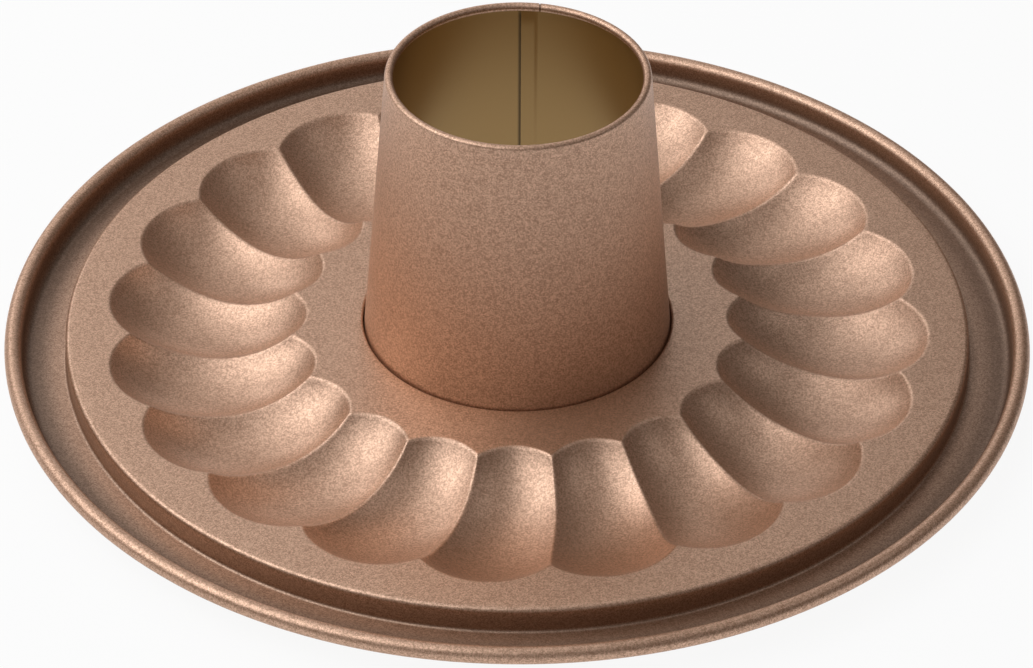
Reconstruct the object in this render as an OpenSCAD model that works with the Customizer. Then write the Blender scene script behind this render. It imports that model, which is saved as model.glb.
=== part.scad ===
// Tube base of a springform cake pan, in millimetres.
// A pressed plate with a ring of twisted lobes, a drip channel and a rolled rim
// carries a conical tube, which is seamed into the hole in its middle.
// The lobes stand on the plane z = 0, and the tube's axis is the Z axis.

/* [Plate] */
// Diameter over the rolled rim
rim_d = 295; // [290:1:310]
// Diameter of the raised plate, which the springform's ring fits round
plate_d = 260; // [256:1:264]
// Depth of the drip channel below the plate
channel_depth = 7.6; // [6:0.1:10]
// Diameter of the rolled bead on the rim
rim_bead_d = 4.8; // [4:0.1:5.6]
// Radius of the channel's outer corner, on its upper side
channel_corner_r = 3; // [1.5:0.1:4]
// Radius of the plate's edge
plate_edge_r = 1.3; // [0.8:0.1:2]
// Radius at the foot of the plate's wall
wall_foot_r = 1; // [0.5:0.1:2]
// Thickness of the plate's sheet
plate_t = 0.6; // [0.5:0.05:0.7]

/* [Lobes] */
// Number of lobes
lobe_count = 20; // [16:1:24]
// Radius at which the lobes' outer tips end
lobe_outer_r = 118.5; // [112:0.5:122]
// Radius at which the lobes' inner tips begin
lobe_inner_r = 60.7; // [56:0.1:66]
// Depth of the lobes
lobe_depth = 12; // [10:0.5:18]
// Full width of one lobe's bowl, of which its neighbours cut away the sides
lobe_w = 45; // [40:0.5:50]
// Gain of the bowl's half width for each millimetre outwards
lobe_flare = 0.105; // [0:0.005:0.15]
// Steepness of the bowl's sides, where 1 is a whole half ellipse
lobe_bowl = 0.8; // [0.5:0.05:0.9]
// Angle by which the inner tips are turned against the outer tips
lobe_twist = 3.95; // [0:0.05:9]

/* [Tube] */
// Height of the tube above the plate
tube_h = 83.7; // [60:0.1:110]
// Outer diameter of the tube where it meets the plate
tube_foot_d = 88.1; // [82:0.1:92]
// Outer diameter of the tube at its top
tube_top_d = 74.2; // [66:0.1:80]
// Diameter of the bead rolled inwards at the top
tube_bead_d = 2.4; // [2:0.1:3]
// Thickness of the tube's sheet
tube_t = 0.5; // [0.4:0.05:0.6]
// Width of the lap of the tube's lengthwise seam
lap_w = 5.2; // [3:0.1:8]
// Distance from the tube's middle plane to the lap's near edge
lap_offset = 0.7; // [0:0.1:5]
// Width of the split in the bead beside the lap
bead_split_w = 0.35; // [0.2:0.05:1]

/* [Foot seam] */
// Height of the plate's collar, from the plate's top to the face that sits on the tube's foot
collar_h = 4; // [3.5:0.1:6]
// Width of the collar's flange
flange_w = 2.4; // [2:0.1:3.5]
// Radius of the collar's bends, on their outer side
collar_bend_r = 0.8; // [0.75:0.05:1.2]
// Clearance between the tube and the collar
collar_gap = 0.15; // [0.1:0.05:0.3]
// Clearance inside the fold of the tube's foot
fold_gap = 0.2; // [0.1:0.05:0.4]
// Inner radius of the bend at the tube's foot
foot_bend_r = 0.3; // [0.2:0.05:0.5]

/* [Hidden] */
$fa = 3;
$fs = 0.3;
// The lobes' pitch, and the direction of the front lobe's outer tip
pitch = 360 / lobe_count;
lobe_phase = 265.6;
// Shape of the twist: how slowly it sets in at the outer and the inner end
twist_start = 1.71;
twist_end = 1.91;
// Facets of the lobes: columns across one lobe, and rows along it
lobe_columns = 8;
lobe_rows = 10;
// Flat margin round the ring of lobes, and the flat ring that leads on from it to the turned parts
lobe_margin = 1.2;
flat_ring = 1;
// Height by which the plate's top stands above the rolled rim
rim_drop = 0.1;
// Heights above the plane that the lobes stand on
plate_z = lobe_depth + plate_t;
channel_z = plate_z - channel_depth;
rim_bead_r = rim_bead_d / 2;
rim_bead_z = plate_z - rim_bead_r - rim_drop;
tube_bead_r = tube_bead_d / 2;
tube_bead_z = plate_z + tube_h - tube_bead_r;
flange_z = plate_z - collar_h;
// Radii from the middle outwards
plate_r = plate_d / 2;
rim_bead_mid_r = rim_d / 2 - rim_bead_r;
channel_outer_r = rim_bead_mid_r - rim_bead_r;
lobe_mid_r = (lobe_inner_r + lobe_outer_r) / 2;
lobe_half_len = (lobe_outer_r - lobe_inner_r) / 2;
// Largest step of a bend's angle
bend_step = 22.5;
// Angles at which the two beads stop, counted from the outward direction
rim_bead_end = -112.5;
tube_bead_end = 285;
// Slope of the tube's wall against the vertical
tube_slope = (tube_foot_d - tube_top_d) / 2 / (tube_bead_z - plate_z);
tube_lean = atan(tube_slope);
collar_r = tube_r(flange_z) + collar_gap;
// Depth to which the lap's inner layer is sunk into the wall that carries it
lap_sink = 0.2;

// Outer radius of the tube's wall at the height z
function tube_r(z) = tube_foot_d / 2 - (z - plate_z) * tube_slope;

// Half width of a lobe's bowl at the distance y from the plate's middle
function lobe_half_w(y) = lobe_w / 2 + lobe_flare * (y - lobe_mid_r);

// Below 1 inside a lobe's outline, 1 on it, with x across the lobe and y along it
function lobe_fill(x, y) = pow((y - lobe_mid_r) / lobe_half_len, 2) + pow(x / lobe_half_w(y), 2);

// Depth of the plate's surface at the radius r and the angle a from the lobe's middle line
function lobe_drop(r, a) =
    let (fill = min(1, lobe_fill(r * sin(a), r * cos(a))), brim = sqrt(1 - lobe_bowl * lobe_bowl))
    lobe_depth * (sqrt(1 - lobe_bowl * lobe_bowl * fill) - brim) / (1 - brim);

// Radius of a lobe's outline at the angle a, between a radius inside it and one outside it
function outline_r(a, inside, outside, steps = 24) =
    let (middle = (inside + outside) / 2)
    steps == 0 ? middle
    : lobe_fill(middle * sin(a), middle * cos(a)) < 1 ? outline_r(a, middle, outside, steps - 1)
    : outline_r(a, inside, middle, steps - 1);

// Turn of the lobes at the radius r, from nothing at the outer tips to lobe_twist at the inner tips
function twist_at(r) =
    let (u = max(0, min(1, (lobe_outer_r - r) / (lobe_outer_r - lobe_inner_r))))
    lobe_twist * pow(u, twist_start) / (pow(u, twist_start) + pow(1 - u, twist_end));

// Radius of the row i in the column at the angle a: a margin, the lobe from end to end, a margin
function row_r(i, a) =
    let (inner = outline_r(a, lobe_mid_r, lobe_inner_r - lobe_margin))
    let (outer = outline_r(a, lobe_mid_r, lobe_outer_r + lobe_margin))
    i == 0 ? lobe_inner_r - lobe_margin
    : i == lobe_rows + 2 ? lobe_outer_r + lobe_margin
    : let (s = sin((2 * (i - 1) / lobe_rows - 1) * asin(lobe_bowl)) / lobe_bowl)
    (inner + outer) / 2 + s * (outer - inner) / 2;

// Angle of the column j from the middle line of its lobe, and its direction at the radius r
function column_a(j) = (j % lobe_columns / lobe_columns - 0.5) * pitch;
function column_dir(j, r) = lobe_phase + floor(j / lobe_columns) * pitch + column_a(j) + twist_at(r);

// Point of the plate's upper surface in the column j and the row i
function lobe_point(j, i) =
    let (r = row_r(i, column_a(j)), turn = column_dir(j, r))
    [r * cos(turn), r * sin(turn), plate_z - lobe_drop(r, column_a(j))];

// Points of a bend [middle, front radius, back radius, first angle, last angle], on its front or its back
function bend_points(bend, side) =
    let (steps = ceil(abs(bend[4] - bend[3]) / bend_step))
    [for (k = [0:steps])
        let (a = bend[3] + (bend[4] - bend[3]) * k / steps)
        bend[0] + bend[side] * [cos(a), sin(a)]];

// A list in the opposite order
function backwards(points) = [for (k = [len(points) - 1:-1:0]) points[k]];

// Section of sheet that runs straight from bend to bend, with square ends given as [front, back] corners
module sheet_section(bends, first = [], last = []) {
    front = [for (b = bends) each bend_points(b, 1)];
    back = [for (b = bends) each bend_points(b, 2)];
    polygon(concat(front, last, backwards(back), backwards(first)));
}

// The plate round its hole: flat sheet, and a collar turned down and then outwards
module collar_section() {
    bend_mid_r = collar_r + collar_bend_r;
    flat_end = lobe_inner_r - lobe_margin - flat_ring;
    flange_end = collar_r + flange_w;
    inside = collar_bend_r - plate_t;
    sheet_section(
        [
            [[bend_mid_r, flange_z + collar_bend_r], collar_bend_r, inside, 270, 180],
            [[bend_mid_r, plate_z - collar_bend_r], collar_bend_r, inside, 180, 90]
        ],
        [[flange_end, flange_z], [flange_end, flange_z + plate_t]],
        [[flat_end, plate_z], [flat_end, plate_z - plate_t]]
    );
}

// The plate outside the lobes: flat sheet, edge, wall, drip channel, outer wall and rolled bead
module rim_section() {
    flat_start = lobe_outer_r + lobe_margin + flat_ring;
    edge_mid = [plate_r - plate_edge_r, plate_z - plate_edge_r];
    foot_mid = [plate_r + wall_foot_r, channel_z + wall_foot_r];
    corner_mid = [channel_outer_r - channel_corner_r, channel_z + channel_corner_r];
    sheet_section(
        [
            [edge_mid, plate_edge_r, plate_edge_r - plate_t, 90, 0],
            [foot_mid, wall_foot_r, wall_foot_r + plate_t, 180, 270],
            [corner_mid, channel_corner_r, channel_corner_r + plate_t, 270, 360],
            [[rim_bead_mid_r, rim_bead_z], rim_bead_r, rim_bead_r - plate_t, 180, rim_bead_end]
        ],
        [[flat_start, plate_z], [flat_start, plate_z - plate_t]]
    );
}

// The ring of lobes as one skin of even thickness, measured straight down
module lobe_ring() {
    columns = lobe_columns * lobe_count;
    rows = lobe_rows + 3;
    upper = [for (j = [0:columns - 1]) for (i = [0:rows - 1]) lobe_point(j, i)];
    lower = [for (p = upper) p - [0, 0, plate_t]];
    under = columns * rows;
    last = rows - 1;
    // Number of the point in the column j and the row i, and the two facets between it and the next ones
    function at(j, i) = (j % columns) * rows + i;
    function near_facet(j, i) = [at(j, i), at(j + 1, i), at(j + 1, i + 1)];
    function far_facet(j, i) = [at(j, i), at(j + 1, i + 1), at(j, i + 1)];
    top = [for (j = [0:columns - 1]) for (i = [0:last - 1]) each [near_facet(j, i), far_facet(j, i)]];
    bottom = [for (facet = top) [for (corner = backwards(facet)) corner + under]];
    inner_edge = [for (j = [0:columns - 1]) [at(j + 1, 0), at(j, 0), at(j, 0) + under, at(j + 1, 0) + under]];
    outer_edge = [
        for (j = [0:columns - 1])
            [at(j, last), at(j + 1, last), at(j + 1, last) + under, at(j, last) + under]
    ];
    polyhedron(points = concat(upper, lower), faces = concat(top, bottom, inner_edge, outer_edge));
}

// Polygon with its corners at the radius r, where the columns of the ring of lobes end
module ring_outline(r) {
    directions = [for (j = [0:lobe_columns * lobe_count - 1]) column_dir(j, r)];
    polygon([for (a = directions) r * [cos(a), sin(a)]]);
}

// Flat sheet between the ring of lobes and the turned parts of the plate
module flat_rings() {
    inner_r = lobe_inner_r - lobe_margin;
    outer_r = lobe_outer_r + lobe_margin;
    translate([0, 0, plate_z - plate_t]) linear_extrude(plate_t) {
        difference() {
            ring_outline(inner_r);
            circle(inner_r - flat_ring);
        }
        difference() {
            circle(outer_r + flat_ring);
            ring_outline(outer_r);
        }
    }
}

// The pressed plate, from the collar in its middle to the rolled rim
module base_plate() {
    color("rosybrown") union() {
        union() {
            rotate_extrude() collar_section();
            rotate_extrude() rim_section();
            flat_rings();
        }
        lobe_ring();
    }
}

// The tube's wall with its rolled bead above and its foot folded round the collar's flange
module tube_section() {
    foot_mid_z = flange_z + foot_bend_r;
    foot_mid = [tube_r(foot_mid_z) + foot_bend_r / cos(tube_lean), foot_mid_z];
    bead_mid = [tube_r(tube_bead_z) - tube_bead_r / cos(tube_lean), tube_bead_z];
    fold_r = (plate_t + fold_gap) / 2;
    fold_mid = [collar_r + flange_w, flange_z + fold_r];
    fold_end = [collar_r + plate_t + collar_bend_r, fold_mid[1] + fold_r];
    sheet_section(
        [
            [fold_mid, fold_r, fold_r + tube_t, 90, -90],
            [foot_mid, foot_bend_r, foot_bend_r + tube_t, 270, 180 + tube_lean],
            [bead_mid, tube_bead_r, tube_bead_r - tube_t, tube_lean, tube_bead_end]
        ],
        [fold_end, fold_end + [0, tube_t]]
    );
}

// Inner layer of the lap, a strip of sheet along the inside of the wall
module lap_section() {
    low = flange_z + collar_bend_r;
    high = tube_bead_z - tube_bead_d;
    inside = tube_t / cos(tube_lean);
    polygon([
        [tube_r(low) - inside + lap_sink, low],
        [tube_r(high) - inside + lap_sink, high],
        [tube_r(high) - 2 * inside, high],
        [tube_r(low) - 2 * inside, low]
    ]);
}

// The rolled tube, with the lap of its seam at the back
module tube() {
    color("tan") difference() {
        union() {
            rotate_extrude() tube_section();
            intersection() {
                rotate_extrude() lap_section();
                translate([lap_offset, 0, 0]) cube([lap_w, tube_foot_d, plate_z + tube_h]);
            }
        }
        translate([lap_offset + lap_w, 0, tube_bead_z - tube_bead_r])
            cube([bead_split_w, tube_foot_d, tube_bead_d]);
    }
}

base_plate();
tube();
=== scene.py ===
import math

import bpy
import numpy as np
from bpy.props import FloatProperty, FloatVectorProperty, IntProperty, PointerProperty
from mathutils import Matrix, Vector


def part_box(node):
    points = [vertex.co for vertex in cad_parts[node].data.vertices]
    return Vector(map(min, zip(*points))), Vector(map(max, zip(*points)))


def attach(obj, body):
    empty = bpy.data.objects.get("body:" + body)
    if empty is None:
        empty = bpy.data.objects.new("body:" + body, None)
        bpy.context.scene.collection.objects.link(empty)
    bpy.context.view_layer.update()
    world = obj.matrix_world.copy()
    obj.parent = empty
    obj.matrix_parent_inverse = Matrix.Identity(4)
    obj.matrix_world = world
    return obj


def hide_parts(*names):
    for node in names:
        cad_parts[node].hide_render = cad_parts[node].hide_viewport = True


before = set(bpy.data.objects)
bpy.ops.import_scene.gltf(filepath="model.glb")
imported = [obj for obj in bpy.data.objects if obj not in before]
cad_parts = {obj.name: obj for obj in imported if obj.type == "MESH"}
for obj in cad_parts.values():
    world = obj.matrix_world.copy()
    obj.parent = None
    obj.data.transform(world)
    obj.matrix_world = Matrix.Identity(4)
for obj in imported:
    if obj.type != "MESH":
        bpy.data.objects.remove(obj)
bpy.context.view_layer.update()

# Tube base of a springform cake pan. Each of its two pieces is one closed sheet of metal: a profile is
# carried round the axis with its normals, and the sheet's other side lies one thickness behind it.
bl_info = {
    "name": "Cake Pan Tube Base",
    "version": (1, 0, 0),
    "blender": (4, 5, 0),
    "location": "View3D > Sidebar > Cake Pan",
    "description": "Makes the dressed tube base of a springform cake pan and its studio",
    "category": "Add Mesh",
}

PLATE_LOW, PLATE_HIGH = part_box("base_plate")
TUBE_LOW, TUBE_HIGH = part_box("tube")


def length(name, default, description):
    """A length property in metres."""
    return FloatProperty(name=name, description=description, default=default, unit="LENGTH", precision=5)


def angle(name, degrees, description):
    """An angle property, given in degrees."""
    return FloatProperty(name=name, description=description, default=math.radians(degrees), unit="ROTATION")


def ratio(name, default, description):
    """A plain number property."""
    return FloatProperty(name=name, description=description, default=default, precision=4)


def colour(name, default, description):
    """A linear colour property."""
    return FloatVectorProperty(name=name, description=description, default=default, subtype="COLOR", min=0, max=1)


class PlateSizes(bpy.types.PropertyGroup):
    """Sizes of the pressed plate, apart from its lobes."""

    top: length("Plate height", PLATE_HIGH.z, "Height of the raised plate's upper side")
    rim_radius: length("Rim radius", PLATE_HIGH.x, "Radius over the rolled rim")
    wall_radius: length("Wall radius", 0.130, "Radius of the raised plate's wall")
    sheet: length("Sheet", 0.0006, "Thickness of the plate's sheet")
    channel_depth: length("Channel depth", 0.0076, "Depth of the drip channel below the plate")
    bead: length("Bead", 0.0024, "Radius of the rolled bead on the rim")
    bead_drop: length("Bead drop", 0.0001, "Height of the plate above the top of the rim's bead")
    bead_end: angle("Bead end", -112.5, "Direction in which the rim's bead stops, counted from outwards")
    corner: length("Channel corner", 0.003, "Radius of the channel's outer corner")
    edge: length("Plate edge", 0.0013, "Radius of the plate's edge")
    wall_foot: length("Wall foot", 0.001, "Radius at the foot of the plate's wall")


class LobeSizes(bpy.types.PropertyGroup):
    """Sizes of the ring of lobes."""

    count: IntProperty(name="Lobes", description="Number of lobes", default=20)
    outer: length("Outer tips", 0.1185, "Radius at which the outer tips end")
    inner: length("Inner tips", 0.0607, "Radius at which the inner tips begin")
    depth: length("Depth", PLATE_HIGH.z - 0.0006, "Depth of the lobes below the plate")
    width: length("Bowl width", 0.045, "Full width of one lobe's bowl")
    flare: ratio("Flare", 0.105, "Gain of the bowl's half width for each unit outwards")
    bowl: ratio("Bowl", 0.8, "Steepness of the bowl's sides, where 1 is a whole half ellipse")
    twist: angle("Twist", 3.95, "Turn of the inner tips against the outer tips")
    twist_start: ratio("Twist start", 1.71, "How slowly the twist sets in at the outer tips")
    twist_end: ratio("Twist end", 1.91, "How slowly the twist fades at the inner tips")
    phase: angle("Phase", 265.6, "Direction of the front lobe's outer tip")
    brim: length("Brim fillet", 0.00075, "Depth over which a lobe's edge is rounded")
    crest: length("Crest fillet", 0.0006, "Depth over which the ridge between two lobes is rounded")
    margin: length("Margin", 0.0012, "Flat sheet between the tips and the turned parts of the plate")


class SeamSizes(bpy.types.PropertyGroup):
    """Sizes of the seam that holds the tube in the plate's collar."""

    collar: length("Collar height", 0.004, "Height of the plate's collar")
    flange: length("Flange", 0.0024, "Width of the collar's flange")
    bend: length("Collar bend", 0.0008, "Radius of the collar's bends")
    gap: length("Collar gap", 0.00015, "Clearance between the tube and the collar")
    fold_gap: length("Fold gap", 0.0002, "Clearance inside the fold of the tube's foot")
    foot_bend: length("Foot bend", 0.0003, "Inner radius of the bend at the tube's foot")


class TubeSizes(bpy.types.PropertyGroup):
    """Sizes of the rolled tube."""

    top: length("Tube top", TUBE_HIGH.z, "Height of the top of the tube's bead")
    foot_radius: length("Foot radius", 0.04405, "Outer radius where the tube meets the plate")
    top_radius: length("Top radius", 0.0371, "Outer radius of the tube at its top")
    bead: length("Bead", 0.0012, "Radius of the bead rolled inwards at the top")
    bead_end: angle("Bead end", 285, "Direction in which the tube's bead stops, counted from outwards")
    sheet: length("Sheet", 0.0005, "Thickness of the tube's sheet")
    lap_offset: length("Lap offset", 0.0007, "Distance of the lap's near edge from the middle plane")
    lap_width: length("Lap width", 0.0052, "Width of the lap inside the tube")
    lap_end: length("Lap end", 0.0016, "Width over which the lap's far side runs out into the wall")
    split: length("Split", 0.00035, "Width of the split beside the lap")
    bead_split: length("Bead split", 0.00042, "Depth of the split in the bead")
    wall_split: length("Wall split", 0.00022, "Depth of the split down the wall's outside")


class Finish(bpy.types.PropertyGroup):
    """The coating on the sheet's front, the lacquer on its back, the painted shade in the drip channel, and the
    floor.
    """

    pigment: colour("Pigment", (0.19, 0.08, 0.033), "Colour of the coating's pigment")
    flakes: colour("Flakes", (0.96, 0.655, 0.485), "Colour of the metal flakes in the coating")
    flake_share: ratio("Flake share", 0.48, "Share of the coating's surface that the flakes cover")
    flake_spread: ratio("Flake spread", 0.48, "How much that share differs from one flake to the next")
    coating_roughness: ratio("Coating roughness", 0.46, "Roughness of the coating")
    # Painted shade: how strongly the coating's colour is darkened in the drip channel's outer corner, standing in for
    # its shade
    channel_painted_shade: ratio("Channel shade", 0.84, "How dark the coating is in the drip channel's outer corner")
    lacquer: colour("Lacquer", (0.16, 0.085, 0.023), "Colour of the lacquer on the sheet's back")
    lacquer_shine: colour("Lacquer shine", (0.60, 0.39, 0.16), "Colour of the steel's shine through the lacquer")
    lacquer_roughness: ratio("Lacquer roughness", 0.34, "Roughness of the lacquered steel")
    floor: colour("Floor", (0.80, 0.80, 0.80), "Colour of the floor")
    floor_white: ratio("Floor white", 0.92, "How far the camera sees the floor as white, without its shadows")
    floor_glow: ratio("Floor glow", 0.80, "Brightness with which the floor is mirrored in the metal")


class Shot(bpy.types.PropertyGroup):
    """The camera, as fitted to the photograph's round edges."""

    distance: length("Distance", 1.19776, "Distance of the camera from the middle of the plate's upper side")
    elevation: angle("Elevation", 36.71, "Height of the camera above the horizon")
    roll: angle("Roll", 0.228, "Turn of the camera about its own axis")
    focal_px: ratio("Focal length", 4148.95, "Focal length in pixels of the photograph")
    centre_x_px: ratio("Centre across", 517.29, "Pixel column in which the plate's middle lies")
    centre_y_px: ratio("Centre down", 315.22, "Pixel row in which the plate's middle lies")


PHOTO_WIDTH_PX = 1033
PHOTO_HEIGHT_PX = 668
MM = 0.001
# Radius at which the tube's columns beside the seam keep the distances that tube_columns gives them
SEAM_RADIUS = 40 * MM
# Light that painted shade of the share 1 takes from the finish's colour, standing in for shade in the drip channel
# and the tube's seam
PAINTED_SHADE_STRENGTH = 0.75
# Grains in a metre: flakes, the clouds that they gather in, and the coating's uneven skin
FLAKE_SCALE = 3100.0
CLOUD_SCALE = 700.0
SKIN_SCALE = 1700.0
# Strength of the even light from all round
ROOM_LIGHT = 0.1


def arc(mid, radius, start, end, steps, side=1):
    """Rows [r, z, normal r, normal z] of an arc: mid + radius (cos a, sin a), with a from start to end in
    degrees. The normals point away from mid, or towards it where side is -1."""
    a = np.radians(np.linspace(start, end, steps + 1))
    spoke = np.stack([np.cos(a), np.sin(a)], axis=1)
    return np.hstack([np.array(mid) + radius * spoke, side * spoke])


def line(start, end, steps=1):
    """Rows of a straight stretch from start to end, with the normals a quarter turn to its left."""
    start, end = np.array(start), np.array(end)
    along = (end - start) / np.linalg.norm(end - start)
    share = np.linspace(0, 1, steps + 1)[:, None]
    return np.hstack([start + share * (end - start), np.tile([-along[1], along[0]], (steps + 1, 1))])


def join(*parts):
    """One profile of several stretches, without the points in which each meets the next."""
    rows = np.vstack(parts)
    moved = np.linalg.norm(np.diff(rows[:, :2], axis=0), axis=1) > 1e-8
    return rows[np.concatenate([[True], moved])]


def blend(a, b, reach):
    """The larger of a and b, rounded where they differ by less than reach: max + (reach - |a - b|)^2 / 4 reach."""
    near = np.maximum(reach - np.abs(a - b), 0)
    return np.maximum(a, b) + near**2 / (4 * reach)


def twist_at(r, lobes):
    """Turn of the lobes at the radius r: twist * u^s / (u^s + (1 - u)^e), with u from 0 at the outer tips to 1 at
    the inner tips."""
    u = np.clip((lobes.outer - r) / (lobes.outer - lobes.inner), 0, 1)
    rise = u**lobes.twist_start
    return lobes.twist * rise / (rise + (1 - u) ** lobes.twist_end)


def bowl_fill(r, a, lobes):
    """q = ((y - middle) / half length)^2 + (x / half width)^2, with x = r sin a across the lobe and y = r cos a
    along it: 1 on the lobe's outline, less inside it."""
    middle, half = (lobes.outer + lobes.inner) / 2, (lobes.outer - lobes.inner) / 2
    x, y = r * np.sin(a), r * np.cos(a)
    return ((y - middle) / half) ** 2 + (x / (lobes.width / 2 + lobes.flare * (y - middle))) ** 2


def bowl_depth(r, a, lobes):
    """Depth of one bowl, depth * (sqrt(1 - b^2 q) - sqrt(1 - b^2)) / (1 - sqrt(1 - b^2)), negative outside it."""
    brim = math.sqrt(1 - lobes.bowl**2)
    q = np.minimum(bowl_fill(r, a, lobes), 1.2)
    return lobes.depth * (np.sqrt(1 - lobes.bowl**2 * q) - brim) / (1 - brim)


def lobe_drop(r, turn, lobes):
    """Depth of the plate at the radius r in the direction turn: the nearest bowl and its neighbour, blended over
    the crest between them, then with the flat plate over the brim."""
    pitch = 2 * math.pi / lobes.count
    a = np.abs((turn - lobes.phase - twist_at(r, lobes) + pitch / 2) % pitch - pitch / 2)
    ring = blend(bowl_depth(r, a, lobes), bowl_depth(r, pitch - a, lobes), lobes.crest)
    return blend(ring, np.zeros_like(ring), lobes.brim)


def outline(a, inside, outside, lobes):
    """Radius at which the outline crosses the direction a, found by halving between two radii."""
    inside, outside = np.full_like(a, inside), np.full_like(a, outside)
    for _ in range(40):
        middle = (inside + outside) / 2
        within = bowl_fill(middle, a, lobes) < 1
        inside, outside = np.where(within, middle, inside), np.where(within, outside, middle)
    return inside


def lobe_columns(lobes):
    """Directions of the columns from the middle line of their lobe, one array for the whole ring: close
    together beside the crests and wider apart in the bowls."""
    half = np.array([0.03, 0.07, 0.12, 0.19, 0.29, 0.42, 0.58, 0.78]) * math.pi / lobes.count
    crest = math.pi / lobes.count
    side = np.concatenate([[-crest], -crest + half, [0], crest - half[::-1]])
    return np.tile(side, lobes.count), np.repeat(np.arange(lobes.count), len(side)) * 2 * crest


def lobe_rows(a, lobes):
    """Radii of the rows across the ring, one column for each direction a: the margins, close rows on both
    sides of the outline, and rows spaced along the bowl as along an arc."""
    inner = outline(a, (lobes.inner + lobes.outer) / 2, lobes.inner - MM, lobes)
    outer = outline(a, (lobes.inner + lobes.outer) / 2, lobes.outer + MM, lobes)
    step = np.array([0.15, 0.3, 0.5, 0.75, 1.05])[:, None] * MM
    first, last = inner + step[-1], outer - step[-1]
    reach = math.asin(lobes.bowl)
    share = np.sin(np.linspace(-reach, reach, 31))[:, None] / lobes.bowl
    bowl = (first + last) / 2 + share * (last - first) / 2
    outside, share = outer + step[-1], np.linspace(0, 1, 4)[1:-1, None]
    flat_out = outside + share * (lobes.outer + lobes.margin - outside)
    inside = inner - step[-1]
    flat_in = inside + share[::-1] * (lobes.inner - lobes.margin - inside)
    edges = [flat_in, inner - step[::-1], inner[None], inner + step[:-1]]
    edges += [bowl, outer - step[-2::-1], outer[None], outer + step, flat_out]
    return np.vstack(edges)


def turned(profile, turn):
    """Points and normals of a profile carried round the axis: (r cos t, r sin t, z) for each row and each t."""
    r, z, nr, nz = (profile[:, k, None] for k in range(4))
    flat = np.ones_like(turn)
    points = np.stack([r * np.cos(turn), r * np.sin(turn), z * flat], axis=2)
    normals = np.stack([nr * np.cos(turn), nr * np.sin(turn), nz * flat], axis=2)
    return points, normals


def lobed(lobes, top):
    """Points and normals of the ring of lobes: z = top - drop(r, t), and the normal is (-dz/dr, -dz/dt / r, 1) in
    the directions along r, along t and up, with the slopes taken over a hundredth of a millimetre."""
    a, lobe = lobe_columns(lobes)
    r = lobe_rows(a, lobes)
    turn = lobes.phase + lobe + a + twist_at(r, lobes)
    tiny = 0.01 * MM
    slope_r = (lobe_drop(r - tiny, turn, lobes) - lobe_drop(r + tiny, turn, lobes)) / (2 * tiny)
    slope_t = (lobe_drop(r, turn - tiny / r, lobes) - lobe_drop(r, turn + tiny / r, lobes)) / (2 * tiny)
    size = np.sqrt(slope_r**2 + slope_t**2 + 1)
    c, s = np.cos(turn), np.sin(turn)
    points = np.stack([r * c, r * s, top - lobe_drop(r, turn, lobes)], axis=2)
    normals = np.stack([slope_t * s - slope_r * c, -slope_t * c - slope_r * s, np.ones_like(r)], axis=2)
    return points, normals / size[:, :, None]


def sheet_mesh(name, front, normals, thickness, shade_paint):
    """Mesh of a sheet whose front is a grid of points, closed round the axis: the back is the front less
    thickness times the normals, and the two are joined along both edges. The attribute back is 1 behind, and
    the painted-shade attribute holds the given shares of painted shade, a darkening of the colour, for both sides."""
    back = front - normals * thickness
    loop = np.concatenate([front, back[::-1]])
    rows, columns = loop.shape[:2]
    i, j = np.meshgrid(np.arange(rows), np.arange(columns), indexing="ij")
    here, next_row = i * columns + j, (i + 1) % rows * columns + j
    right = i * columns + (j + 1) % columns
    corner = (i + 1) % rows * columns + (j + 1) % columns
    faces = np.stack([here, next_row, corner, right], axis=2).reshape(-1, 4)
    mesh = bpy.data.meshes.new(name)
    mesh.from_pydata(loop.reshape(-1, 3), [], faces)
    mesh.polygons.foreach_set("use_smooth", np.ones(len(faces), dtype=bool))
    mesh.set_sharp_from_angle(angle=math.radians(50))
    behind = np.repeat([0.0, 1.0], [front.shape[0] * columns, back.shape[0] * columns])
    for key, values in (("back", behind), ("shade_paint", shade_paint.ravel())):
        mesh.attributes.new(key, "FLOAT", "POINT").data.foreach_set("value", values)
    mesh.update()
    return mesh


def add_piece(mesh, node, material):
    """Shows the mesh in place of a CAD node, on the part's body."""
    piece = bpy.data.objects.new(mesh.name, mesh)
    bpy.context.scene.collection.objects.link(piece)
    mesh.materials.append(material)
    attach(piece, "root")
    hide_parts(node)
    return piece


def tube_slope(tube, plate):
    """Loss of the tube's radius for each unit of height."""
    return (tube.foot_radius - tube.top_radius) / (tube.top - tube.bead - plate.top)


def tube_radius(z, tube, plate):
    """Outer radius of the tube's wall at the height z."""
    return tube.foot_radius - (z - plate.top) * tube_slope(tube, plate)


def collar_radius(tube, plate, seam):
    """Inner radius of the plate's collar, clear of the tube at the collar's foot."""
    return tube_radius(plate.top - seam.collar, tube, plate) + seam.gap


def collar_profile(plate, lobes, tube, seam):
    """Profile from the collar's flange up and out to the flat margin inside the lobes."""
    collar = collar_radius(tube, plate, seam)
    mid_r, low = collar + seam.bend, plate.top - seam.collar
    return join(
        line([collar + seam.flange, low], [mid_r, low]),
        arc([mid_r, low + seam.bend], seam.bend, 270, 180, 6),
        line([collar, low + seam.bend], [collar, plate.top - seam.bend]),
        arc([mid_r, plate.top - seam.bend], seam.bend, 180, 90, 6),
        line([mid_r, plate.top], [lobes.inner - lobes.margin, plate.top], 4),
    )


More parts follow.
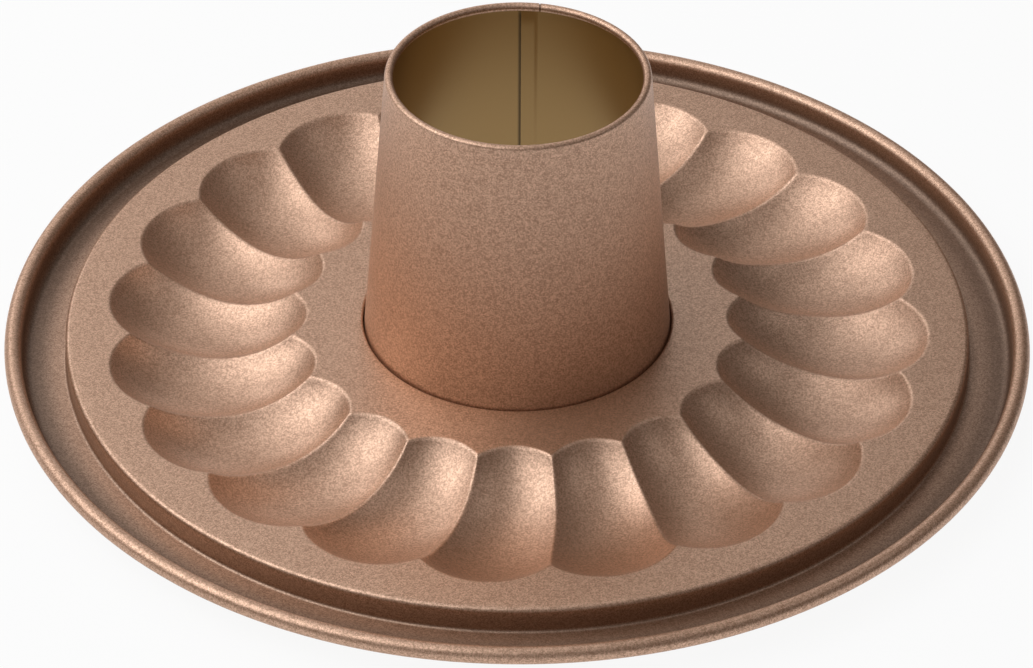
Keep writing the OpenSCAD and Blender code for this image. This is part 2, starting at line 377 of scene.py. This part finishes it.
def rim_profile(plate, lobes):
    """Profile from the flat margin outside the lobes over the edge, through the channel and round the bead."""
    floor = plate.top - plate.channel_depth
    bead_r, bead_z = plate.rim_radius - plate.bead, plate.top - plate.bead_drop - plate.bead
    side = bead_r - plate.bead
    edge = [plate.wall_radius - plate.edge, plate.top - plate.edge]
    foot = [plate.wall_radius + plate.wall_foot, floor + plate.wall_foot]
    corner = [side - plate.corner, floor + plate.corner]
    return join(
        line([lobes.outer + lobes.margin, plate.top], [edge[0], plate.top], 4),
        arc(edge, plate.edge, 90, 0, 8),
        line([plate.wall_radius, edge[1]], [plate.wall_radius, foot[1]], 3),
        arc(foot, plate.wall_foot, 180, 270, 6, side=-1),
        line([foot[0], floor], [corner[0], floor], 4),
        arc(corner, plate.corner, 270, 360, 8, side=-1),
        line([side, corner[1]], [side, bead_z]),
        arc([bead_r, bead_z], plate.bead, 180, math.degrees(plate.bead_end), 22),
    )


def tube_profile(tube, plate, seam):
    """Profile from the foot's fold inwards, up the wall's outside and round the bead to its end inside."""
    slope = tube_slope(tube, plate)
    lean = math.degrees(math.atan(slope))
    out = np.array([math.cos(math.radians(lean)), math.sin(math.radians(lean))])
    collar, seat = collar_radius(tube, plate, seam), plate.top - seam.collar
    bead_z, foot_z = tube.top - tube.bead, seat + seam.foot_bend
    bead = np.array([tube_radius(bead_z, tube, plate) - tube.bead / out[0], bead_z])
    foot = np.array([tube_radius(foot_z, tube, plate) + seam.foot_bend / out[0], foot_z])
    fold = (plate.sheet + seam.fold_gap) / 2
    fold_mid = [collar + seam.flange, seat + fold]
    flap_r = collar + plate.sheet + seam.bend
    return join(
        line([flap_r, fold_mid[1] + fold], [fold_mid[0], fold_mid[1] + fold], 2) * [1, 1, -1, -1],
        arc(fold_mid, fold, 90, -90, 10, side=-1),
        line([fold_mid[0], seat], [foot[0], seat], 3) * [1, 1, -1, -1],
        arc(foot, seam.foot_bend, 270, 180 + lean, 5, side=-1),
        line(foot - seam.foot_bend * out, bead + tube.bead * out, 24) * [1, 1, -1, -1],
        arc(bead, tube.bead, lean, math.degrees(tube.bead_end), 24),
    )


def tube_columns(tube):
    """Directions from the back, clockwise seen from above: even steps, with close columns at the lap and the
    seam that keep their distance from the middle plane."""
    near, far = tube.lap_offset, tube.lap_offset + tube.lap_width
    close = [-9, -6, -3, -1.2, -0.3] + list(near / MM + np.array([-0.5, -0.25, -0.1, 0, 0.06, 0.25])) + [1.6, 2.6]
    close += [3.6, 4.3, 4.7, 5.1, 5.5, far / MM - 0.1]
    close += list(far / MM + tube.split / MM * np.array([0, 0.25, 0.5, 0.75, 1])) + [6.5, 7.1, 7.8, 9]
    seam = np.arcsin(np.array(close) * MM / SEAM_RADIUS)
    even = np.radians(np.arange(16, 344.1, 2.5))
    return np.concatenate([seam, even])


def tube_turns(r, columns):
    """Direction of each column at the radius r: near the lap x stays x, so its sine grows as the radius
    shrinks, and this fades out between 15 and 40 degrees from the back."""
    off = (columns + math.pi) % (2 * math.pi) - math.pi
    keep = np.clip((math.radians(40) - np.abs(off)) / math.radians(25), 0, 1)
    straight = np.arcsin(np.clip(np.sin(off) * SEAM_RADIUS / r, -1, 1))
    near = np.abs(off) < math.radians(60)
    return np.where(near, off + keep * (straight - off), off)


def step_up(x, edge, width):
    """0 below edge, 1 above edge + width, and s^2 (3 - 2 s) between."""
    s = np.clip((x - edge) / width, 0, 1)
    return s * s * (3 - 2 * s)


def painted_shade_share(front, plate):
    """Share of painted shade at each point of the drip channel, a darkening of the coating's colour that stands in
    for the
    shade there: from 0 at the plate's edge it grows over half the channel's depth to 0.65 on the plate's wall, 0.3 on
    the floor beside it and 1 in the outer corner, and ends at the bead."""
    radius, drop = np.hypot(front[:, :, 0], front[:, :, 1]), plate.top - front[:, :, 2]
    beyond = step_up(radius, plate.wall_radius - 0.2 * MM, 0.1 * MM)
    within = 1 - step_up(radius, plate.rim_radius - 2.2 * plate.bead, plate.bead / 2)
    wall = 1 - step_up(radius, plate.wall_radius + plate.wall_foot / 4, plate.wall_foot)
    corner = step_up(radius, plate.wall_radius + 2 * plate.wall_foot, 7 * MM)
    return beyond * within * step_up(drop, 0.5 * MM, plate.channel_depth / 2) * (0.3 + 0.35 * wall + 0.7 * corner)


class Value:
    """A socket that Python's operators work on: each one adds the Math node of its name."""

    def __init__(self, nodes, socket):
        self.nodes, self.socket = nodes, socket

    def _math(self, operation, *values):
        return self.nodes.math(operation, *values)

    def __add__(self, other):
        return self._math("ADD", self, other)

    def __sub__(self, other):
        return self._math("SUBTRACT", self, other)

    def __rsub__(self, other):
        return self._math("SUBTRACT", other, self)

    def __mul__(self, other):
        return self._math("MULTIPLY", self, other)

    __radd__ = __add__
    __rmul__ = __mul__


class Nodes:
    """The node tree of one new material."""

    def __init__(self, name):
        self.material = bpy.data.materials.new(name)
        self.material.use_nodes = True
        self.tree = self.material.node_tree
        self.tree.nodes.clear()

    def add(self, kind, settings=None, **inputs):
        """Adds a node of that kind, sets its settings and then its sockets' values or links. A socket is named
        by its label in small letters, with _ for a space."""
        node = self.tree.nodes.new(kind)
        for key, value in (settings or {}).items():
            setattr(node, key, value)
        named = {s.name.lower().replace(" ", "_"): s for s in reversed(node.inputs) if s.enabled}
        for key, value in inputs.items():
            self.put(named[key], value)
        return node

    def put(self, socket, value):
        """Links a Value or a socket to the socket, or sets a plain value on it."""
        if isinstance(value, Value):
            value = value.socket
        if isinstance(value, bpy.types.NodeSocket):
            self.tree.links.new(value, socket)
        else:
            socket.default_value = value

    def math(self, operation, *values):
        """Adds a Math node."""
        node = self.tree.nodes.new("ShaderNodeMath")
        node.operation = operation
        for socket, value in zip(node.inputs, values):
            self.put(socket, value)
        return Value(self, node.outputs[0])

    def out(self, node, name=0):
        """The node's output of that name or number, as a Value."""
        return Value(self, node.outputs[name])

    def mix(self, factor, low, high):
        """Colour between low and high."""
        node = self.tree.nodes.new("ShaderNodeMix")
        node.data_type = "RGBA"
        for socket, value in zip([node.inputs[0], node.inputs[6], node.inputs[7]], [factor, low, high]):
            self.put(socket, value)
        return Value(self, node.outputs[2])

    def dim(self, tone, light):
        """The colour times light."""
        return self.out(self.add("ShaderNodeVectorMath", {"operation": "SCALE"}, vector=tone, scale=light))

    def blend(self, factor, low, high):
        """Shader between low and high."""
        node = self.tree.nodes.new("ShaderNodeMixShader")
        for socket, value in zip(node.inputs, [factor, low.outputs[0], high.outputs[0]]):
            self.put(socket, value)
        return node

    def finish(self, shader):
        """Ends the tree with this shader and returns the material."""
        self.add("ShaderNodeOutputMaterial", surface=shader.outputs[0])
        return self.material


def rgba(value):
    """A colour with full opacity."""
    return (*value, 1.0)


def metal_finish(look):
    """Pigment with metal flakes of about 0.3 mm in front, and lacquered steel on the sheet's back.

    Both are a mix of a dull and a metallic shader. Each flake's own share of metal makes the coating's grain.
    An attribute of painted shade darkens both colours, standing in for the shade in the drip channel and the tube's
    seam."""
    n = Nodes("flake_coating")
    place = n.out(n.add("ShaderNodeTexCoord"), "Object")
    back = n.out(n.add("ShaderNodeAttribute", {"attribute_name": "back"}), "Fac")
    cells = n.out(n.add("ShaderNodeTexVoronoi", vector=place, scale=FLAKE_SCALE), "Color")
    flake = n.out(n.add("ShaderNodeSeparateColor", color=cells), "Red")
    # Painted shade: the share of colour left where the painted-shade attribute darkens the finish
    light = 1.0 - n.out(n.add("ShaderNodeAttribute", {"attribute_name": "shade_paint"}), "Fac") * PAINTED_SHADE_STRENGTH
    clouds = n.out(n.add("ShaderNodeTexNoise", vector=place, scale=CLOUD_SCALE, detail=2.0), "Fac")
    spread = (flake - 0.5) * look.flake_spread + (clouds - 0.5) * (look.flake_spread / 4)
    share = spread * (1.0 - back) + look.flake_share
    roughness = back * (look.lacquer_roughness - look.coating_roughness) + look.coating_roughness
    skin = n.add("ShaderNodeTexNoise", vector=place, scale=SKIN_SCALE, detail=1.0)
    bump = n.add("ShaderNodeBump", height=skin.outputs[0], distance=0.01 * MM, strength=0.25)
    dull = n.add(
        "ShaderNodeBsdfPrincipled",
        base_color=n.dim(n.mix(back, rgba(look.pigment), rgba(look.lacquer)), light),
        roughness=roughness,
        specular_ior_level=0.3,
        normal=bump.outputs[0],
    )
    metal = n.add(
        "ShaderNodeBsdfPrincipled",
        base_color=n.dim(n.mix(back, rgba(look.flakes), rgba(look.lacquer_shine)), light),
        metallic=1.0,
        roughness=roughness,
        normal=bump.outputs[0],
    )
    return n.finish(n.blend(share, dull, metal))


class CAKEPAN_OT_plate(bpy.types.Operator):
    """Make the pressed plate in place of its CAD node"""

    bl_idname = "cakepan.plate"
    bl_label = "Pressed plate"

    def execute(self, context):
        pan = context.scene.cake_pan
        plate, lobes, tube, seam = pan.plate, pan.lobes, pan.tube, pan.seam
        a, lobe = lobe_columns(lobes)
        collar, rim = collar_profile(plate, lobes, tube, seam), rim_profile(plate, lobes)
        inside, outside = lobes.phase + lobe + a + lobes.twist, lobes.phase + lobe + a
        parts = [
            turned(collar, np.tile(inside, (len(collar), 1))),
            lobed(lobes, plate.top),
            turned(rim, np.tile(outside, (len(rim), 1))),
        ]
        front, normals = (np.concatenate(list(group)) for group in zip(*parts))
        # Painted shade: the coating's colour is darkened in the drip channel to stand in for the shade there
        shade = painted_shade_share(front, plate) * pan.finish.channel_painted_shade
        shade_paint = np.concatenate([shade, np.zeros_like(shade)])
        mesh = sheet_mesh("pressed_plate", front, normals, plate.sheet, shade_paint)
        add_piece(mesh, "base_plate", metal_finish(pan.finish))
        return {"FINISHED"}


class CAKEPAN_OT_tube(bpy.types.Operator):
    """Make the rolled tube in place of its CAD node"""

    bl_idname = "cakepan.tube"
    bl_label = "Rolled tube"

    def execute(self, context):
        pan = context.scene.cake_pan
        plate, tube, seam = pan.plate, pan.tube, pan.seam
        profile = tube_profile(tube, plate, seam)
        columns = tube_columns(tube)
        clockwise = tube_turns(profile[:, 0, None], columns)
        front, normals = turned(profile, math.pi / 2 - clockwise)
        x, height = front[:, :, 0], front[:, :, 2]
        at_back = (front[:, :, 1] > 0) * 1.0
        near, far = tube.lap_offset, tube.lap_offset + tube.lap_width
        wall = step_up(height, plate.top - seam.collar + seam.bend, MM) * step_up(-height, -tube.top + 3 * MM, MM)
        lap = at_back * wall * step_up(x, near, 0.05 * MM) * (1 - step_up(x, far - tube.lap_end, tube.lap_end))
        bead = step_up(height, tube.top - 2.2 * tube.bead, 0.2 * MM)
        above = step_up(height, plate.top - MM, MM)
        across = at_back * step_up(x, far, tube.split / 2) * (1 - step_up(x, far + tube.split / 2, tube.split / 2))
        groove = across * above * (tube.wall_split + bead * (tube.bead_split - tube.wall_split))
        front = front - normals * groove[:, :, None]
        thickness = tube.sheet * (1 + lap) - groove
        # Painted shadow: a strip beside the lap's near edge inside the tube, and the split's groove outside, are
        # darkened in colour to stand in for the shadow in these gaps; the groove's depth also shapes the sheet
        beside = at_back * wall * step_up(x, near - 0.7 * MM, 0.3 * MM) * (1 - step_up(x, near, 0.05 * MM))
        shade_paint = np.concatenate([groove / tube.bead_split, beside[::-1]])
        mesh = sheet_mesh("rolled_tube", front, normals, thickness[:, :, None], shade_paint)
        add_piece(mesh, "tube", metal_finish(pan.finish))
        return {"FINISHED"}


# Name, direction round the pan and height above the horizon in degrees, diameter in metres, power in watts.
# The camera stands at 0, and 90 is the photograph's right.
LAMPS = [
    ("left_box", 265, 44, 1.2, 10.0),
    ("front_left_box", 318, 58, 1.0, 5.5),
    ("front_box", 355, 18, 1.2, 0.7),
    ("right_box", 90, 58, 0.8, 1.2),
    ("top_left_box", 240, 68, 1.0, 3.0),
    ("back_box", 185, 50, 1.2, 2.2),
    ("back_left_box", 215, 27, 0.7, 2.6),
    ("back_strip", 180, 9, 0.8, 1.5),
]
LAMP_DISTANCE = 1.6


class CAKEPAN_OT_stage(bpy.types.Operator):
    """Make the floor, the lamps and the camera"""

    bl_idname = "cakepan.stage"
    bl_label = "Studio and camera"

    def execute(self, context):
        pan, scene = context.scene.cake_pan, context.scene
        self.floor(scene, pan.finish)
        self.world(scene)
        target = Vector((0, 0, pan.plate.top))
        for name, around, height, size, power in LAMPS:
            around, height = math.radians(around), math.radians(height)
            flat = math.cos(height)
            ray = Vector((math.sin(around) * flat, -math.cos(around) * flat, math.sin(height)))
            lamp = bpy.data.lights.new(name, "AREA")
            lamp.shape, lamp.size, lamp.energy = "DISK", size, power
            holder = bpy.data.objects.new(name, lamp)
            holder.location = target + ray * LAMP_DISTANCE
            holder.rotation_euler = ray.to_track_quat("Z", "Y").to_euler()
            scene.collection.objects.link(holder)
        self.camera(scene, pan.shot, target)
        scene.view_settings.view_transform = "Standard"
        return {"FINISHED"}

    def floor(self, scene, look):
        """A wide flat floor: plain diffuse, and white to the camera and in reflections apart from the shadow."""
        half = 20.0
        mesh = bpy.data.meshes.new("floor")
        mesh.from_pydata([(-half, -half, 0), (half, -half, 0), (half, half, 0), (-half, half, 0)], [], [(0, 1, 2, 3)])
        n = Nodes("pale_floor")
        plain = n.add("ShaderNodeBsdfDiffuse", color=rgba(look.floor))
        white = n.add("ShaderNodeEmission", color=(1, 1, 1, 1), strength=1.0)
        path = n.add("ShaderNodeLightPath")
        seen = n.out(path, "Is Camera Ray") * look.floor_white + n.out(path, "Is Glossy Ray") * look.floor_glow
        mesh.materials.append(n.finish(n.blend(seen, plain, white)))
        floor = bpy.data.objects.new("floor", mesh)
        scene.collection.objects.link(floor)

    def world(self, scene):
        """An even soft light from all round."""
        world = scene.world or bpy.data.worlds.new("studio")
        scene.world = world
        world.use_nodes = True
        light = world.node_tree.nodes["Background"].inputs
        light["Color"].default_value = (1, 1, 1, 1)
        light["Strength"].default_value = ROOM_LIGHT

    def camera(self, scene, shot, target):
        """The camera of the photograph: it looks at the plate's middle, and the shift puts that in its pixel."""
        data = bpy.data.cameras.new("camera")
        data.sensor_width = 36
        data.lens = shot.focal_px / PHOTO_WIDTH_PX * data.sensor_width
        data.shift_x = (PHOTO_WIDTH_PX / 2 - shot.centre_x_px) / PHOTO_WIDTH_PX
        data.shift_y = (shot.centre_y_px - PHOTO_HEIGHT_PX / 2) / PHOTO_WIDTH_PX
        data.clip_end = 100
        back = Vector((0, -math.cos(shot.elevation), math.sin(shot.elevation)))
        turn = back.to_track_quat("Z", "Y").to_matrix() @ Matrix.Rotation(shot.roll, 3, "Z")
        camera = bpy.data.objects.new("camera", data)
        camera.location = target + back * shot.distance
        camera.rotation_euler = turn.to_euler()
        scene.collection.objects.link(camera)
        scene.camera = camera


class CakePan(bpy.types.PropertyGroup):
    """Everything that the panel shows."""

    plate: PointerProperty(type=PlateSizes)
    lobes: PointerProperty(type=LobeSizes)
    seam: PointerProperty(type=SeamSizes)
    tube: PointerProperty(type=TubeSizes)
    finish: PointerProperty(type=Finish)
    shot: PointerProperty(type=Shot)


OPERATORS = (CAKEPAN_OT_plate, CAKEPAN_OT_tube, CAKEPAN_OT_stage)


class CAKEPAN_PT_panel(bpy.types.Panel):
    """Lists the steps that make the pan"""

    bl_idname = "CAKEPAN_PT_panel"
    bl_label = "Cake Pan"
    bl_space_type = "VIEW_3D"
    bl_region_type = "UI"
    bl_category = "Cake Pan"

    def draw(self, context):
        for operator in OPERATORS:
            self.layout.operator(operator.bl_idname)


GROUPS = (PlateSizes, LobeSizes, SeamSizes, TubeSizes, Finish, Shot, CakePan)
CLASSES = (*GROUPS, *OPERATORS, CAKEPAN_PT_panel)


def register():
    for cls in CLASSES:
        bpy.utils.register_class(cls)
    bpy.types.Scene.cake_pan = PointerProperty(type=CakePan)


def unregister():
    del bpy.types.Scene.cake_pan
    for cls in reversed(CLASSES):
        bpy.utils.unregister_class(cls)


def main():
    register()
    bpy.ops.cakepan.plate()
    bpy.ops.cakepan.tube()
    bpy.ops.cakepan.stage()


if __name__ == "__main__":
    main()
